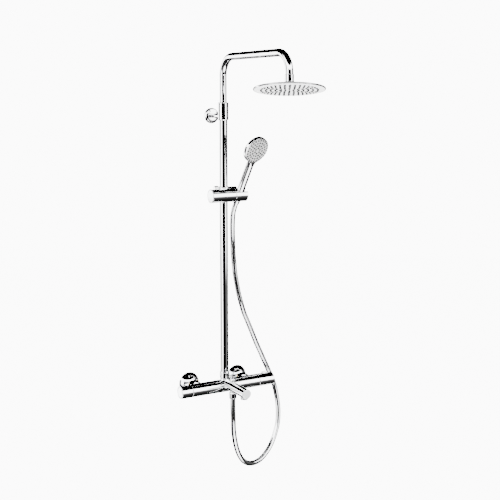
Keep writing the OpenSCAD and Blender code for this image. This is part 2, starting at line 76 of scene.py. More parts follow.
# Shower hose: a smooth PVC hose with a silver spiral under its clear skin, crimped to a nut at
# the spout and to the cone nut of the handset. It is one hose, laid in four lengths: the first
# hangs from the spout on the root, and the others, whose two ends are held by different parts,
# are left fixed where they are laid.
hose_r = 7.0
hose_route = [
    (0, -120, -24), (0, -120, -52), (1, -120, -83), (3, -118, -112), (8, -115, -142),
    (17, -110, -172), (28, -106, -196), (42, -101, -215), (59, -97, -227), (77, -92, -232),
    (93, -88, -232), (110, -84, -227), (127, -79, -217), (143, -74, -203), (157, -69, -185),
    (168, -65, -164), (177, -61, -141), (182, -56, -115), (183, -52, -90), (181, -48, -64),
    (176, -45, -36), (167, -44, -9), (155, -43, 18), (143, -43, 43), (130, -43, 71),
    (116, -43, 101), (103, -44, 131), (90, -44, 161), (77, -44, 191), (67, -45, 221),
    (59, -45, 250), (53, -45, 279), (48, -45, 308), (45, -45, 337), (42, -46, 366),
    (40, -48, 394), (37, -52, 422), (34, -58, 449), (31.5, -66, 475), (31, -76.6, 496),
    (32.2, -82, 506.6)]
hose_cuts = (0, 10, 32, 36, 40)


def vectors(points):
    """Plain triples as vectors."""
    return [Vector(p) for p in points]


def smooth_line(points, first, last, step):
    """The stretch of a smooth line through the points, from one of them to another."""
    p = vectors(points)
    p = [2 * p[0] - p[1]] + p + [2 * p[-1] - p[-2]]
    line = []
    for i in range(first, last):
        a, b, c, d = p[i], p[i + 1], p[i + 2], p[i + 3]
        parts = max(2, round((c - b).length / step))
        for k in range(parts):
            t = k / parts
            line.append(0.5 * (2 * b + (c - a) * t + (2 * a - 5 * b + 4 * c - d) * t * t
                + (3 * b - a - 3 * c + d) * t * t * t))
    line.append(p[last + 1])
    return line


def line_frames(line, start_side):
    """A side and an up vector at each point of a line, carried along it without twist."""
    side = start_side.copy()
    frames = []
    for i, p in enumerate(line):
        ahead = (line[min(i + 1, len(line) - 1)] - line[max(i - 1, 0)]).normalized()
        side = (side - ahead * side.dot(ahead)).normalized()
        frames.append((p, side, ahead.cross(side), ahead))
    return frames


def skin_rings(mesh, rings, closed=False):
    """Quads between rings of vertices, each ring joined to the next."""
    pairs = list(zip(rings, rings[1:]))
    if closed:
        pairs.append((rings[-1], rings[0]))
    faces = []
    for a, b in pairs:
        for k in range(len(a)):
            n = (k + 1) % len(a)
            faces.append(mesh.faces.new((a[k], a[n], b[n], b[k])))
    return faces


def metal_piece(name, mesh, finish, slot, body, *nodes):
    """A mesh in millimetres becomes a piece of the shower, on its body and in its finish."""
    bmesh.ops.scale(mesh, vec=(0.001,) * 3, verts=mesh.verts)
    bmesh.ops.recalc_face_normals(mesh, faces=mesh.faces)
    data = bpy.data.meshes.new(name)
    mesh.to_mesh(data)
    mesh.free()
    data.shade_smooth()
    data.set_sharp_from_angle(angle=math.radians(38))
    piece = bpy.data.objects.new(name, data)
    bpy.context.scene.collection.objects.link(piece)
    data.materials.append(finish)
    if body:
        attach(piece, body)
    if nodes:
        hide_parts(*nodes)
    return piece


def node_adder(tree):
    """A function that adds a shader node to a tree, with its settings and its wires."""
    def add(kind, wires=(), **settings):
        node = tree.nodes.new("ShaderNode" + kind)
        for key, value in settings.items():
            setattr(node, key, value)
        for socket, value in wires:
            if hasattr(value, "is_output"):
                tree.links.new(value, node.inputs[socket])
            else:
                node.inputs[socket].default_value = value
        return node
    return add


def plain_finish(name, metal, rough):
    """An empty finish with its shader, and what adds and links its nodes."""
    finish = bpy.data.materials.new(name)
    finish.use_nodes = True
    shader = finish.node_tree.nodes["Principled BSDF"]
    shader.inputs["Metallic"].default_value = metal
    shader.inputs["Roughness"].default_value = rough
    return finish, shader, node_adder(finish.node_tree), finish.node_tree.links


def graded(add, value, low, high, out_low, out_high):
    """A value from one range, eased to another."""
    return add("MapRange", [("Value", value), ("From Min", low), ("From Max", high),
        ("To Min", out_low), ("To Max", out_high)]).outputs["Result"]


def two_tone(add, amount, first, second):
    """A colour between two, by an amount from 0 to 1."""
    mix = add("Mix", [("Factor", amount)], data_type="RGBA")
    mix.inputs["A"].default_value = (*first, 1)
    mix.inputs["B"].default_value = (*second, 1)
    return mix.outputs["Result"]


def hose_finish():
    """Silver plastic with a fine spiral, which goes once round the hose in every pitch."""
    finish, shader, add, links = plain_finish("silver_hose", 1, 0.06)
    pitch_mm = 2.6
    laid = add("UVMap")
    turn = add("SeparateXYZ", [("Vector", laid.outputs["UV"])])
    pitch = add("Math", [(0, turn.outputs["Y"]), (1, 1000 / pitch_mm)], operation="MULTIPLY")
    spiral = add("Math", [(0, turn.outputs["X"]), (1, pitch.outputs[0])], operation="ADD")
    wave = add("Math", [(0, spiral.outputs[0]), (1, 2 * math.pi)], operation="MULTIPLY")
    wave = add("Math", [(0, wave.outputs[0])], operation="SINE")
    strip = graded(add, wave.outputs[0], -0.6, 0.6, 0, 1)
    links.new(two_tone(add, strip, (0.84, 0.85, 0.86), (0.95, 0.955, 0.96)),
        shader.inputs["Base Color"])
    links.new(graded(add, wave.outputs[0], -1, 1, 0.10, 0.05), shader.inputs["Roughness"])
    bump = add("Bump", [("Strength", 0.04), ("Distance", 0.0001), ("Height", strip)])
    links.new(bump.outputs["Normal"], shader.inputs["Normal"])
    shader.inputs["Coat Weight"].default_value = 0.6
    shader.inputs["Coat Roughness"].default_value = 0.05
    return finish


silver_hose = hose_finish()
hose_names = ("hose_from_spout", "hose_to_slider", "hose_behind_slider", "hose_to_handset")
hose_nodes = ("hose_lower", "hose_lower", "hose_middle", "hose_top")
hose_ends = (None, ("root", "slider"), ("slider", "holder"), ("holder", "cone"))
whole_line = smooth_line(hose_route, hose_cuts[0], hose_cuts[-1], step=3.0)
whole_frames = line_frames(whole_line, Vector((1, 0, 0)))
hose_along = [0.0]
for a, b in zip(whole_line, whole_line[1:]):
    hose_along.append(hose_along[-1] + (b - a).length)
hose_sides = 28
for part, hose_name in enumerate(hose_names):
    start = Vector(hose_route[hose_cuts[part]])
    stop = Vector(hose_route[hose_cuts[part + 1]])
    i0 = min(range(len(whole_line)), key=lambda i: (whole_line[i] - start).length)
    i1 = min(range(len(whole_line)), key=lambda i: (whole_line[i] - stop).length)
    mesh = bmesh.new()
    uv = mesh.loops.layers.uv.new("laid")
    rings = []
    for p, side, up, ahead in whole_frames[i0:i1 + 1]:
        rings.append([mesh.verts.new(p + hose_r * (side * math.cos(a) + up * math.sin(a)))
            for a in (2 * math.pi * k / hose_sides for k in range(hose_sides))])
    faces = skin_rings(mesh, rings)
    for n, face in enumerate(faces):
        ring, k = divmod(n, hose_sides)
        corners = ((k, ring), (k + 1, ring), (k + 1, ring + 1), (k, ring + 1))
        for loop, (c, r) in zip(face.loops, corners):
            loop[uv].uv = (c / hose_sides, hose_along[i0 + r] / 1000)
    for ring in (rings[0], rings[-1]):
        mesh.faces.new(ring)
    hose = metal_piece(hose_name, mesh, silver_hose, "hose_pvc", None)
    if hose_ends[part]:
        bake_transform(hose)
    else:
        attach(hose, "root")
    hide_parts(hose_nodes[part])


# Wall unions, nuts and non-return valves: turned raw brass connectors screwed into the wall, with
# fibre washers in the joints. The plated hexagon nuts draw the mixer on to them.
def span(node):
    """Lowest and highest corner of a part, in millimetres."""
    low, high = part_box(node)
    return [v * 1000 for v in low], [v * 1000 for v in high]


def worn_finish(name, light, dark, metal, rough, grain=30.0, depth=0.05):
    """A finish with cloudy colour, uneven polish and a fine surface grain."""
    finish, shader, add, links = plain_finish(name, metal, rough[0])
    place = add("TexCoord").outputs["Object"]
    cloud = add("TexNoise", [("Vector", place), ("Scale", grain), ("Detail", 3.0)])
    fine = add("TexNoise", [("Vector", place), ("Scale", grain * 18), ("Detail", 2.0)])
    shade = graded(add, cloud.outputs["Fac"], 0.35, 0.65, 0, 1)
    links.new(two_tone(add, shade, light, dark), shader.inputs["Base Color"])
    links.new(graded(add, fine.outputs["Fac"], 0.3, 0.7, *rough), shader.inputs["Roughness"])
    bump = add("Bump", [("Strength", depth), ("Distance", 0.0002),
        ("Height", fine.outputs["Fac"])])
    links.new(bump.outputs["Normal"], shader.inputs["Normal"])
    return finish


def dress(finish, *nodes):
    """Parts whose shape is right as it is get a finish of their own."""
    for node in nodes:
        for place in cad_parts[node].material_slots:
            place.material = finish


raw_brass = worn_finish("raw_brass", (0.83, 0.66, 0.33), (0.66, 0.48, 0.20), 1, (0.22, 0.38))
fibre = worn_finish("fibre_washer", (0.20, 0.19, 0.18), (0.11, 0.10, 0.10), 0, (0.7, 0.9),
    grain=60, depth=0.3)
white_resin = worn_finish("white_resin", (0.88, 0.87, 0.83), (0.80, 0.79, 0.75), 0, (0.35, 0.5))
dress(raw_brass, "wall_union_left", "wall_union_right")
dress(fibre, "fibre_washers")
dress(white_resin, "check_valves")


def softened(outline, closed, step=5):
    """A turned outline of (along, radius, softness) with its corners rounded and held."""
    count = len(outline)
    out = []
    for i, corner in enumerate(outline):
        p = Vector(corner[:2])
        soft = corner[2] if len(corner) > 2 else 0.35
        if not closed and i in (0, count - 1):
            out.append(p)
            continue
        before = p - Vector(outline[i - 1][:2])
        after = Vector(outline[(i + 1) % count][:2]) - p
        if soft <= 0 or before.length < 1e-6 or after.length < 1e-6:
            out.append(p)
            continue
        turn = before.angle_signed(after)
        if abs(turn) < 0.06:
            out.append(p)
            continue
        reach = soft * math.tan(abs(turn) / 2)
        reach = min(reach, 0.45 * before.length, 0.45 * after.length)
        radius = reach / math.tan(abs(turn) / 2)
        d0, d1 = before.normalized(), after.normalized()
        centre_way = (d1 - d0).normalized()
        centre = p + centre_way * (radius / math.cos(turn / 2))
        hold = min(0.12, 0.04 * before.length, 0.04 * after.length)
        out.append(p - d0 * (reach + hold))
        a, b = p - d0 * reach - centre, p + d1 * reach - centre
        for k in range(step + 1):
            t = k / step
            ray = (a * math.sin((1 - t) * abs(turn)) + b * math.sin(t * abs(turn)))
            out.append(centre + ray / math.sin(abs(turn)))
        out.append(p + d1 * (reach + hold))
    return out


def turned(outline, centre=(0, 0, 0), axis="Z", closed=False, sides=96, mesh=None, place=None):
    """A piece turned on a lathe: an outline of (along, radius) spun about an axis."""
    mesh = mesh or bmesh.new()
    points = softened(outline, closed)
    ways = {"X": ((1, 0, 0), (0, 1, 0), (0, 0, 1)), "Y": ((0, 1, 0), (0, 0, 1), (1, 0, 0)),
        "Z": ((0, 0, 1), (1, 0, 0), (0, 1, 0))}
    along, u, v = vectors(ways[axis])
    base = Vector(centre)
    rings = []
    for a, r in points:
        ring = []
        for k in range(sides if r > 1e-4 else 1):
            turn = 2 * math.pi * k / sides
            spot = base + along * a + r * (u * math.cos(turn) + v * math.sin(turn))
            ring.append(mesh.verts.new(place @ spot if place else spot))
        rings.append(ring)
    pairs = list(zip(rings, rings[1:]))
    if closed:
        pairs.append((rings[-1], rings[0]))
    for a, b in pairs:
        for k in range(sides):
            n = (k + 1) % sides
            if len(a) == 1:
                mesh.faces.new((a[0], b[n], b[k]))
            elif len(b) == 1:
                mesh.faces.new((a[k], a[n], b[0]))
            else:
                mesh.faces.new((a[k], a[n], b[n], b[k]))
    return mesh


def fitted(base, *steps):
    """A mesh with others joined to it or cut from it, in order."""
    def as_object(mesh):
        bmesh.ops.recalc_face_normals(mesh, faces=mesh.faces)
        data = bpy.data.meshes.new("work")
        mesh.to_mesh(data)
        mesh.free()
        work = bpy.data.objects.new("work", data)
        bpy.context.scene.collection.objects.link(work)
        return work
    work = as_object(base)
    others = []
    for how, mesh in steps:
        other = as_object(mesh)
        step = work.modifiers.new(how, "BOOLEAN")
        step.operation = how
        step.solver = "EXACT"
        step.object = other
        others.append(other)
    bpy.context.view_layer.update()
    out = bmesh.new()
    out.from_mesh(work.evaluated_get(bpy.context.evaluated_depsgraph_get()).to_mesh())
    for spare in [work] + others:
        data = spare.data
        bpy.data.objects.remove(spare)
        bpy.data.meshes.remove(data)
    bmesh.ops.remove_doubles(out, verts=out.verts, dist=0.002)
    return out


def chrome_finish(name, rough=(0.01, 0.03)):
    """Bright chromium plate, with the faint waviness and water marks of a used fitting."""
    finish, shader, add, links = plain_finish(name, 1, rough[0])
    place = add("TexCoord").outputs["Object"]
    cloud = add("TexNoise", [("Vector", place), ("Scale", 22.0), ("Detail", 4.0)])
    marks = add("TexNoise", [("Vector", place), ("Scale", 140.0), ("Detail", 3.0)])
    shade = graded(add, cloud.outputs["Fac"], 0.3, 0.7, 0, 1)
    links.new(two_tone(add, shade, (0.97, 0.975, 0.98), (0.93, 0.935, 0.945)),
        shader.inputs["Base Color"])
    links.new(graded(add, marks.outputs["Fac"], 0.35, 0.75, *rough), shader.inputs["Roughness"])
    bump = add("Bump", [("Strength", 0.003), ("Distance", 0.0002),
        ("Height", cloud.outputs["Fac"])])
    links.new(bump.outputs["Normal"], shader.inputs["Normal"])
    return finish


chrome = chrome_finish("chrome_plate")
inlets = (-75, 75)
hexagon_r = 17
nut_low, nut_high = span("union_nuts")
whole = None
for x in inlets:
    collar = turned([(nut_low[1], 13.0), (nut_low[1], 17.1, 0.2), (nut_low[1] + 1.6, 17.6, 0.3),
        (nut_high[1] - 1.2, 17.6, 0.3), (nut_high[1], 16.0, 0.3), (nut_high[1], 10.6),
        (-36.0, 10.6), (-36.0, 13.0)], (x, 0, 0), "Y", closed=True, sides=120)
    hexagon = bmesh.new()
    corners = []
    for y in (nut_low[1] - 1, nut_high[1] + 1):
        corners.append([hexagon.verts.new((x + hexagon_r * math.cos(math.radians(60 * k)), y,
            hexagon_r * math.sin(math.radians(60 * k)))) for k in range(6)])
    skin_rings(hexagon, corners)
    hexagon.faces.new(corners[0])
    hexagon.faces.new(corners[1])
    nut = fitted(collar, ("INTERSECT", hexagon))
    if whole is None:
        whole = nut
    else:
        data = bpy.data.meshes.new("spare")
        nut.to_mesh(data)
        nut.free()
        whole.from_mesh(data)
        bpy.data.meshes.remove(data)
metal_piece("hexagon_nuts", whole, chrome, "chrome_brass", "root", "union_nuts")


# Wall flanges: deep domes pressed from brass sheet and chromium plated, pushed against the tiles
# over the unions to hide the holes in the wall.
mouth_r = 11.0
sheet = 1.4
for side, x in zip(("left", "right"), inlets):
    flange_low, flange_high = span("wall_flange_" + side)
    flange_r = (flange_high[0] - flange_low[0]) / 2
    deep = -flange_low[1]
    outline = [(-0.02, flange_r - 1.7, 0), (-0.02, flange_r, 0.3)]
    ball = (flange_r * flange_r + deep * deep) / (2 * deep)
    top = math.acos((ball - deep) / ball)
    mouth = math.asin(mouth_r / ball)
    for k in range(1, 25):
        a = top + (mouth - top) * k / 24
        outline.append((-(ball * math.cos(a) - ball + deep), ball * math.sin(a), 0))
    outline[-1] = (outline[-1][0], outline[-1][1], 0.3)
    for k in range(16):
        a = mouth + (top - 0.02 - mouth) * k / 15
        inner = ball - sheet
        outline.append((-(inner * math.cos(a) - ball + deep), inner * math.sin(a), 0))
    outline = [p for p in outline if p[0] <= 0]
    metal_piece("flange_" + side, turned(outline, (x, 0, 0), "Y", closed=True, sides=128),
        chrome, "chrome_brass", "root", "wall_flange_" + side)


# Mixer bar: a cast brass body, turned, polished and plated, with two inlets behind, the thread for
# the column on top and the spigot for the spout in front.
riser_low, riser_high = span("riser_tube")
bar_y = (riser_low[1] + riser_high[1]) / 2
bar_r = 17.5
half = span("mixer_body")[1][0]
bar_shell = turned([(-half, 14.5), (-half, bar_r, 0.5), (half, bar_r, 0.5), (half, 14.5),
    (52, 14.5), (52, 8), (-40, 8), (-40, 14.5)], (0, bar_y, 0), "X", closed=True, sides=160)
steps = []
for x in inlets:
    steps.append(("UNION", turned([(bar_y + 9.5, 0), (bar_y + 9.5, 12.9), (-41.5, 12.9, 0.8),
        (-41.5, 0)], (x, 0, 0), "Y")))
steps.append(("UNION", turned([(12, 0), (12, 12), (22.5, 12), (22.5, 9.6), (32, 9.6, 0.8), (32, 0)],
    (0, bar_y, 0), "Z")))
steps.append(("UNION", turned([(-27, 0), (-27, 8, 0.6), (-12, 8), (-12, 0)], (0, bar_y, 9), "Y")))
for x in inlets:
    steps.append(("DIFFERENCE", turned([(8 + bar_y, 0), (8 + bar_y, 8), (-40, 8), (-40, 0)],
        (x, 0, 0), "Y", sides=48)))
steps.append(("DIFFERENCE", turned([(0, 0), (0, 6.5), (33, 6.5), (33, 0)], (0, bar_y, 0), "Z",
    sides=48)))
steps.append(("DIFFERENCE", turned([(-28, 0), (-28, 5.5), (0, 5.5), (0, 0)], (0, bar_y, 9), "Y",
    sides=48)))
metal_piece("bar", fitted(bar_shell, *steps), chrome, "chrome_brass", "root", "mixer_body")


# Cartridges: the thermostat on the left and the ceramic headwork on the right, with splined
# spindles that the handles are screwed to. They are brass, with steel screws and springs.
dull_steel = worn_finish("dull_steel", (0.62, 0.63, 0.65), (0.50, 0.51, 0.53), 1, (0.25, 0.4),
    grain=50)
dress(raw_brass, "thermostat_cartridge", "flow_headwork", "temperature_spindle", "flow_spindle")
dress(dull_steel, "temperature_screw", "flow_screw", "safety_spring", "eco_spring")


# Handles: plated cups that turn on the ends of the bar, each with a slot for its stop button and a
# domed cap pressed into the end over the screw.
def rounded_bar(centre, size, corner, crown=0.0, mesh=None, steps=6):
    """A block, its length along X, with round corners, softened edges and a crowned top."""
    mesh = mesh or bmesh.new()
    cx, cy, cz = centre
    lx, ly, lz = (s / 2 for s in size)
    soft = min(0.5, lz * 0.4)
    levels = [(-lz, -soft), (-lz + soft * 0.3, -soft * 0.3), (-lz + soft, 0), (lz - soft, 0),
        (lz - soft * 0.3, -soft * 0.3), (lz, -soft)]
    rings = []
    for z, inset in levels:
        ring = []
        for qx, qy, start in ((1, 1, 0), (-1, 1, 90), (-1, -1, 180), (1, -1, 270)):
            for k in range(steps + 1):
                a = math.radians(start + 90 * k / steps)
                r = corner + inset
                ring.append(mesh.verts.new((cx + qx * (lx - corner) + r * math.cos(a),
                    cy + qy * (ly - corner) + r * math.sin(a), cz + z)))
        rings.append(ring)
    skin_rings(mesh, rings)
    bottom = mesh.verts.new((cx, cy, cz - lz))
    top = mesh.verts.new((cx, cy, cz + lz + crown))
    count = len(rings[0])
    for k in range(count):
        n = (k + 1) % count
        mesh.faces.new((bottom, rings[0][n], rings[0][k]))
        mesh.faces.new((top, rings[-1][k], rings[-1][n]))
    return mesh


handles = (
    ("temperature", -1, "safety_button", "temperature_grip", "safety_stop"),
    ("flow", 1, "eco_button", "flow_grip", "eco_stop"))
for name, way, button, grip_body, stop_body in handles:
    low, high = span(name + "_handle")
    inner, outer = (high[0], low[0]) if way < 0 else (low[0], high[0])
    web = outer - way * 7
    cup = turned([(inner, 15.0), (inner, bar_r, 0.6), (outer, bar_r, 0.7), (outer, 15.0, 0.3),
        (web, 15.0, 0.5), (web, 4.1, 0.3), (inner + way * 2, 4.1), (inner + way * 2, 7),
        (web - way * 2, 7, 0.8), (web - way * 2, 15.0, 0.8)], (0, bar_y, 0), "X", closed=True,
        sides=160)
    low, high = span(button)
    middle = (low[0] + high[0]) / 2
    slot = rounded_bar((middle, bar_y, 17), (16.3, 6.3, 8), 1.2)
    metal_piece(name + "_grip", fitted(cup, ("DIFFERENCE", slot)), chrome, "chrome_brass",
        grip_body, name + "_handle")
    tab = rounded_bar((middle, bar_y, (14 + high[2]) / 2), (15.8, 5.8, high[2] - 14), 1.1, 0.25)
    rounded_bar((middle, bar_y, 13.55), (17.4, 7.4, 1.1), 1.5, 0, tab)
    for rib in range(-2, 3):
        rounded_bar((middle + rib * 2.4, bar_y, high[2] - 0.1), (0.9, 4.2, 0.6), 0.4, 0, tab)
    metal_piece(name + "_button", tab, chrome, "plated_plastic", stop_body, button)
    cap_in = outer - way * 2.4
    cap = turned([(cap_in, 0), (cap_in, 14.5, 0.3), (outer - way * 0.4, 14.85, 0.5),
        (outer - way * 0.05, 13.2, 2.5), (outer, 8, 0), (outer, 0, 0)],
        (0, bar_y, 0), "X", sides=128)
    metal_piece(name + "_end", cap, chrome, "chrome_brass", grip_body, name + "_cap")


# Bath spout: a round tube coped to the bar and closed at the front, with the aerator under its tip,
# the diverter on top and the hose outlet below.
spout_low, spout_high = span("spout_body")
spout_z = (spout_high[2] - 23.5) + 9
spout_front = spout_low[1]
aerator_low, aerator_high = span("aerator_housing")
aerator_y = (aerator_low[1] + aerator_high[1]) / 2
knob_low, knob_high = span("diverter_knob")
knob_y = (knob_low[1] + knob_high[1]) / 2
tube = turned([(bar_y, 0), (bar_y, 13.0), (spout_front, 13.0, 1.3), (spout_front, 0)],
    (0, 0, spout_z), "Y", sides=128)
steps = [
    ("UNION", turned([(spout_z, 0), (spout_z, 9.5), (-5.0, 9.5, 0.4), (-5.0, 0)],
        (0, aerator_y, 0), "Z")),
    ("UNION", turned([(spout_z, 0), (spout_z, 6.8), (23.5, 6.8, 0.5), (23.5, 0)],
        (0, knob_y, 0), "Z")),
    ("UNION", turned([(spout_z, 0), (spout_z, 8), (-11, 8, 0.4), (-11, 0)], (0, knob_y, 0), "Z")),
    ("DIFFERENCE", turned([(-40, 0), (-40, bar_r + 0.06, 0), (40, bar_r + 0.06, 0), (40, 0)],
        (0, bar_y, 0), "X", sides=160)),
    ("DIFFERENCE", turned([(-1, 0), (-1, 13.4, 0), (45, 13.4, 0), (45, 0)], (0, bar_y, 0), "Z")),
    ("DIFFERENCE", turned([(bar_y - 27.5, 0), (bar_y - 27.5, 8.05, 0), (bar_y, 8.05, 0),
        (bar_y, 0)], (0, 0, spout_z), "Y", sides=64)),
    ("DIFFERENCE", turned([(spout_front + 3, 0), (spout_front + 3, 10, 0), (bar_y - 27, 10, 0),
        (bar_y - 27, 0)], (0, 0, spout_z), "Y", sides=64)),
    ("DIFFERENCE", turned([(-6, 0), (-6, 8.05, 0), (spout_z, 8.05, 0), (spout_z, 0)],
        (0, aerator_y, 0), "Z", sides=64)),
    ("DIFFERENCE", turned([(-12, 0), (-12, 3.2, 0), (spout_z, 3.2, 0), (spout_z, 2.5, 0),
        (24, 2.5, 0), (24, 0)], (0, knob_y, 0), "Z", sides=48))]
spout = metal_piece("spout", fitted(tube, *steps), chrome, "chrome_brass", "root", "spout_body")
satin = chrome_finish("satin_plate", rough=(0.55, 0.62))
spout.data.materials.append(satin)
for face in spout.data.polygons:
    if face.normal.y < -0.99 and face.center.y < (spout_front + 0.5) / 1000:
        face.material_index = 1
housing = turned([(0.9, 7.0), (0.9, 7.95), (-5.05, 7.95), (-5.05, 9.4, 0.2), (-8, 9.4, 0.6),
    (-8, 7.0, 0.3)], (0, aerator_y, 0), "Z", closed=True)
metal_piece("aerator_ring", housing, chrome, "chrome_brass", "root", "aerator_housing")
grey_resin = worn_finish("grey_resin", (0.30, 0.31, 0.33), (0.22, 0.23, 0.25), 0, (0.35, 0.5))
dress(grey_resin, "aerator_insert")
dress(dull_steel, "diverter_spring")
dress(raw_brass, "diverter_valve")


# Diverter and hose nut: a plated pull knob on the stem of the diverter, and the nut that holds the
# hose on its outlet under the spout.
knob = turned([(33.9, 0), (33.9, 2.45, 0), (knob_low[2], 2.45, 0.2), (knob_low[2], 7.0, 0.4),
    (knob_low[2] + 2.2, 7.5, 0.6), (29.5, 7.4, 0.6), (31.0, 6.7, 0.6), (32.5, 7.4, 0.6),
    (knob_high[2] - 0.6, 7.5, 1.6), (knob_high[2], 3.5, 3.0), (knob_high[2], 0)],
    (0, knob_y, 0), "Z")
metal_piece("pull_knob", knob, chrome, "chrome_brass", "diverter", "diverter_knob")
nut_low, nut_high = span("hose_nut")
nut = turned([(nut_high[2], 8.06), (nut_high[2], 9.6, 0.4), (nut_high[2] - 1.5, 10.3, 0.4),
    (nut_low[2] + 3.0, 10.3, 1.0), (nut_low[2], 8.6, 1.2), (nut_low[2], 4.5, 0.3), (-11.2, 4.5),
    (-11.2, 8.06)], (0, knob_y, 0), "Z", closed=True)
metal_piece("hose_coupling", nut, chrome, "chrome_brass", "root", "hose_nut")


# Column: a plated brass tube in a round nut on the mixer, with a sleeve on its upper end that
# clamps the telescopic tube with a grub screw.
low, high = span("riser_nut")
nut = turned([(low[2], 9.8), (low[2], 12.4, 0.4), (low[2] + 1.2, 13.2, 0.5),
    (high[2] - 3, 13.2, 1.2),
    (high[2], 11.6, 0.8), (high[2], 11.06, 0), (31, 11.06, 0), (31, 9.8, 0)], (0, bar_y, 0), "Z",
    closed=True)
metal_piece("column_nut", nut, chrome, "chrome_brass", "root", "riser_nut")
tube = turned([(riser_low[2], 10.02), (riser_low[2], 11.0, 0.3), (riser_high[2], 11.0, 0.3),
    (riser_high[2], 10.02, 0.2)], (0, bar_y, 0), "Z", closed=True, sides=128)
metal_piece("column_tube", tube, chrome, "chrome_brass", "root", "riser_tube")
low, high = span("sleeve_collar")
collar = turned([(low[2], 11.06, 0.2), (low[2], 13.2, 0.6), (low[2] + 1.5, 14.0, 0.8),
    (high[2] - 1.5, 14.0, 0.8), (high[2], 13.0, 0.8), (high[2], 9.56, 0.3), (765.5, 9.56),
    (765.5, 11.06)], (0, bar_y, 0), "Z", closed=True, sides=128)
hole = turned([(0, 0), (0, 2.5, 0), (20, 2.5, 0), (20, 0)], (0, bar_y, low[2] + 41), "Y", sides=48)
held_low, held_high = span("bracket_arm")
bracket_z = (held_low[2] + held_high[2]) / 2
socket = turned([(11.6, 0), (11.6, 4.0, 0), (20, 4.0, 0), (20, 0)], (0, bar_y, bracket_z), "Y",
    sides=48)
metal_piece("sleeve", fitted(collar, ("DIFFERENCE", hole), ("DIFFERENCE", socket)), chrome,
    "chrome_brass", "root", "sleeve_collar")
dress(dull_steel, "grub_screw")


# Wall bracket: a stepped turned arm from the sleeve to a steel plate screwed to the wall, under a
# plated cover that slides along the arm.
low, high = span("bracket_arm")
arm = turned([(bar_y + 11.7, 0), (bar_y + 11.7, 3.9, 0.2), (bar_y + 13.95, 3.9, 0),
    (bar_y + 13.95, 6.6, 0.5), (-33.0, 6.6, 0.5), (-33.0, 5.6, 0.2), (-31.4, 5.6, 0.2),
    (-31.4, 6.6, 0.4), (-26.0, 6.6, 0.6), (-26.0, 5.5, 0.2), (high[1], 5.5, 0.3),
    (high[1], 3.95, 0), (-26, 3.95, 0), (-26, 0)], (0, 0, bracket_z), "Y")
metal_piece("bracket", arm, chrome, "chrome_brass", "root", "bracket_arm")
low, high = span("bracket_rosette")
cover = turned([(-0.02, 17.0, 0.2), (-0.02, 21.0, 0.4), (-4.0, 21.0, 1.5), (-8.2, 18.4, 3.0),
    (low[1], 13.0, 4.0), (low[1], 5.55, 0.4), (-8, 5.55, 0), (-8, 17.0, 0.6)], (0, 0, bracket_z),
    "Y", closed=True, sides=128)
metal_piece("bracket_cover", cover, chrome, "chrome_brass", "root", "bracket_rosette")
dress(dull_steel, "wall_plate", "wall_screws")


# Overhead arm: one drawn and plated tube with two bends, which turns and slides in the column on a
# nylon guide. Its short end points down and carries the overhead shower.
low, high = span("overhead_arm")
arm_r = 9.5
bend = 50.0
arm_top = high[2] - arm_r
arm_front = low[1] + arm_r
drop_low = 836.0
line = [Vector((0, bar_y, low[2])), Vector((0, bar_y, 700)), Vector((0, bar_y, arm_top - bend))]
for k in range(1, 33):
    a = math.radians(90 * k / 32)
    line.append(Vector((0, bar_y - bend * (1 - math.cos(a)), arm_top - bend + bend * math.sin(a))))
line.append(Vector((0, (bar_y + arm_front) / 2, arm_top)))
for k in range(33):
    a = math.radians(90 * k / 32)
    line.append(Vector((0, arm_front + bend - bend * math.sin(a),
        arm_top - bend + bend * math.cos(a))))
line.append(Vector((0, arm_front, drop_low)))


def drawn_tube(line, outside, inside, start_side, sides=96):
    """A tube drawn along a line, open at both ends, with its wall."""
    mesh = bmesh.new()
    rings = []
    frames = line_frames(line, start_side)
    for radius, order in ((outside, frames), (inside, frames[::-1])):
        for p, side, up, ahead in order:
            rings.append([mesh.verts.new(p + radius * (side * math.cos(a) + up * math.sin(a)))
                for a in (2 * math.pi * k / sides for k in range(sides))])
    skin_rings(mesh, rings, closed=True)
    return mesh


metal_piece("rain_arm", drawn_tube(line, arm_r, 8.0, Vector((1, 0, 0))), chrome, "chrome_brass",
    "arm", "overhead_arm")
dress(white_resin, "telescope_guide")


# Ball joint: a round nut on the end of the arm carries a hollow ball, which the shower head grips
# between its socket and a rubber-lined seat.
ball = Vector((0, arm_front, 819))
ball_r = 7.5
low, high = span("ball_nut")
outline = [(high[2], 9.56, 0.3), (high[2], 10.0, 0.4), (high[2] - 1.2, 10.8, 0.6),
    (low[2] + 4.5, 10.8, 3.0), (low[2], 7.6, 1.2), (low[2], 4.6, 0.6), (ball.z + 6.6, 4.6, 0.8)]
for k in range(13):
    a = math.radians(52 + (156 - 52) * k / 12)
    a = math.radians(38) + (a - math.radians(52)) * 1.15
    outline.append((ball.z + ball_r * math.cos(a), ball_r * math.sin(a), 0))
outline.append((outline[-1][0], 3.0, 0.2))
outline.append((drop_low - 0.2, 3.0, 0))
outline.append((drop_low - 0.2, 9.56, 0))
outline = [p for p in outline if p[1] > 2.9]
nut = turned(outline, (0, arm_front, 0), "Z", closed=True, sides=96)
metal_piece("ball_joint_nut", nut, chrome, "chrome_brass", "arm", "ball_nut")
dress(fibre, "ball_seat")


